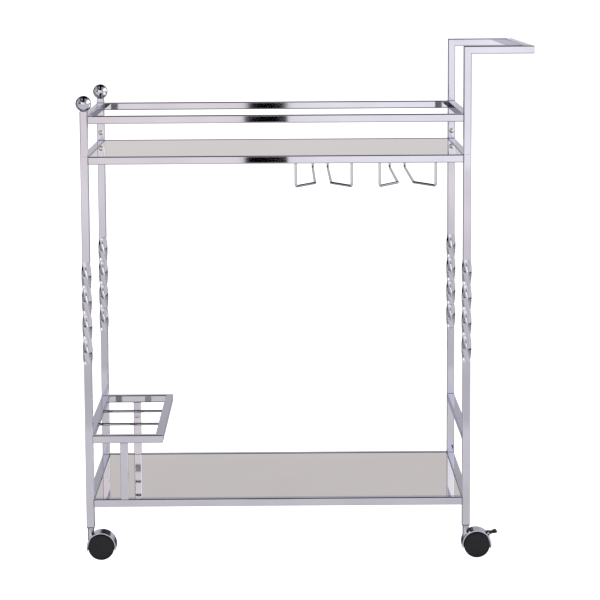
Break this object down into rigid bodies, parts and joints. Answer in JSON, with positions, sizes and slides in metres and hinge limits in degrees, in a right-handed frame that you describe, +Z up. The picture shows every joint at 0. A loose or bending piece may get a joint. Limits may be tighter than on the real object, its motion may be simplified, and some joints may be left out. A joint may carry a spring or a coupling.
{
  "type": "bar cart",
  "caption": "Chrome bar cart on twin-wheel casters with twisted square-tube posts, mirror shelves, gallery rails, bottle rack, stemware runners and a push handle.",
  "frame": {"origin": "on the floor under the centre of the overall box", "axes": "+X from the finial end to the push handle, +Y from front to back, +Z up"},
  "size_m": [0.8656, 0.4596, 0.981],
  "materials": {
    "chrome": "polished chrome plate",
    "silvered_mirror": "silvered mirror glass",
    "wheel_plastic": "moulded black nylon",
    "lever_plastic": "moulded black nylon",
    "plug_plastic": "moulded plastic",
    "pad_rubber": "soft clear rubber",
    "screw_steel": "nickel-plated steel",
    "zinc_steel": "zinc-plated steel"
  },
  "bodies": {
    "frame": {"ball_finials": "chrome", "bottom_shelf_mirror": "silvered_mirror", "bottom_shelf_rail_front": "chrome", "bottom_shelf_rail_left": "chrome", "bottom_shelf_rail_rear": "chrome", "bottom_shelf_rail_right": "chrome", "caster_stems": "zinc_steel", "gallery_rail_front": "chrome", "gallery_rail_left": "chrome", "gallery_rail_rear": "chrome", "gallery_rail_right": "chrome", "handle_arm_front": "chrome", "handle_arm_rear": "chrome", "handle_grip": "chrome", "joint_sleeves": "zinc_steel", "lock_screws": "screw_steel", "lower_end_rail_right": "chrome", "lower_post_front_left": "chrome", "lower_post_front_right": "chrome", "lower_post_rear_left": "chrome", "lower_post_rear_right": "chrome", "post_foot_plugs": "plug_plastic", "rack_legs": "chrome", "rack_rail_front": "chrome", "rack_rail_left": "chrome", "rack_rail_rear": "chrome", "rack_rail_right": "chrome", "rack_rods": "chrome", "shelf_pads": "pad_rubber", "shelf_tabs": "chrome", "stemware_runner_inner": "chrome", "stemware_runner_outer": "chrome", "top_shelf_mirror": "silvered_mirror", "top_shelf_rail_front": "chrome", "top_shelf_rail_left": "chrome", "top_shelf_rail_rear": "chrome", "top_shelf_rail_right": "chrome", "tray_post_front_left": "chrome", "tray_post_front_right": "chrome", "tray_post_rear_left": "chrome", "tray_post_rear_right": "chrome"},
    "caster_front_left_swivel": {"caster_front_left_hood": "chrome", "caster_front_left_axle": "zinc_steel"},
    "caster_front_left_wheel_a": {"caster_front_left_wheel_a": "wheel_plastic"},
    "caster_front_left_wheel_b": {"caster_front_left_wheel_b": "wheel_plastic"},
    "caster_front_right_swivel": {"caster_front_right_hood": "chrome", "caster_front_right_axle": "zinc_steel"},
    "caster_front_right_wheel_a": {"caster_front_right_wheel_a": "wheel_plastic"},
    "caster_front_right_wheel_b": {"caster_front_right_wheel_b": "wheel_plastic"},
    "caster_front_right_lever": {"caster_front_right_lever": "lever_plastic"},
    "caster_rear_left_swivel": {"caster_rear_left_hood": "chrome", "caster_rear_left_axle": "zinc_steel"},
    "caster_rear_left_wheel_a": {"caster_rear_left_wheel_a": "wheel_plastic"},
    "caster_rear_left_wheel_b": {"caster_rear_left_wheel_b": "wheel_plastic"},
    "caster_rear_right_swivel": {"caster_rear_right_hood": "chrome", "caster_rear_right_axle": "zinc_steel"},
    "caster_rear_right_wheel_a": {"caster_rear_right_wheel_a": "wheel_plastic"},
    "caster_rear_right_wheel_b": {"caster_rear_right_wheel_b": "wheel_plastic"},
    "caster_rear_right_lever": {"caster_rear_right_lever": "lever_plastic"}
  },
  "joints": [
    {"name": "caster_front_left_swivel_turn", "type": "hinge", "parent": "frame", "child": "caster_front_left_swivel", "pos_m": [-0.4147, -0.21169, 0.057], "axis": [0, 0, 1], "continuous": true},
    {"name": "caster_front_left_wheel_a_roll", "type": "hinge", "parent": "caster_front_left_swivel", "child": "caster_front_left_wheel_a", "pos_m": [-0.3942, -0.21169, 0.025], "axis": [0, 1, 0], "continuous": true},
    {"name": "caster_front_left_wheel_b_roll", "type": "hinge", "parent": "caster_front_left_swivel", "child": "caster_front_left_wheel_b", "pos_m": [-0.3942, -0.21169, 0.025], "axis": [0, 1, 0], "continuous": true},
    {"name": "caster_front_right_swivel_turn", "type": "hinge", "parent": "frame", "child": "caster_front_right_swivel", "pos_m": [0.3073, -0.21169, 0.057], "axis": [0, 0, 1], "continuous": true},
    {"name": "caster_front_right_wheel_a_roll", "type": "hinge", "parent": "caster_front_right_swivel", "child": "caster_front_right_wheel_a", "pos_m": [0.3278, -0.21169, 0.025], "axis": [0, 1, 0], "continuous": true},
    {"name": "caster_front_right_wheel_b_roll", "type": "hinge", "parent": "caster_front_right_swivel", "child": "caster_front_right_wheel_b", "pos_m": [0.3278, -0.21169, 0.025], "axis": [0, 1, 0], "continuous": true},
    {"name": "caster_front_right_lever_press", "type": "hinge", "parent": "caster_front_right_swivel", "child": "caster_front_right_lever", "pos_m": [0.3504, -0.21169, 0.04396], "axis": [0, 1, 0], "range_deg": [0, 25]},
    {"name": "caster_rear_left_swivel_turn", "type": "hinge", "parent": "frame", "child": "caster_rear_left_swivel", "pos_m": [-0.4147, 0.16931, 0.057], "axis": [0, 0, 1], "continuous": true},
    {"name": "caster_rear_left_wheel_a_roll", "type": "hinge", "parent": "caster_rear_left_swivel", "child": "caster_rear_left_wheel_a", "pos_m": [-0.4147, 0.18981, 0.025], "axis": [-1, 0, 0], "continuous": true},
    {"name": "caster_rear_left_wheel_b_roll", "type": "hinge", "parent": "caster_rear_left_swivel", "child": "caster_rear_left_wheel_b", "pos_m": [-0.4147, 0.18981, 0.025], "axis": [-1, 0, 0], "continuous": true},
    {"name": "caster_rear_right_swivel_turn", "type": "hinge", "parent": "frame", "child": "caster_rear_right_swivel", "pos_m": [0.3073, 0.16931, 0.057], "axis": [0, 0, 1], "continuous": true},
    {"name": "caster_rear_right_wheel_a_roll", "type": "hinge", "parent": "caster_rear_right_swivel", "child": "caster_rear_right_wheel_a", "pos_m": [0.3073, 0.18981, 0.025], "axis": [-1, 0, 0], "continuous": true},
    {"name": "caster_rear_right_wheel_b_roll", "type": "hinge", "parent": "caster_rear_right_swivel", "child": "caster_rear_right_wheel_b", "pos_m": [0.3073, 0.18981, 0.025], "axis": [-1, 0, 0], "continuous": true},
    {"name": "caster_rear_right_lever_press", "type": "hinge", "parent": "caster_rear_right_swivel", "child": "caster_rear_right_lever", "pos_m": [0.3073, 0.2124, 0.04396], "axis": [-1, 0, 0], "range_deg": [0, 25]}
  ]
}
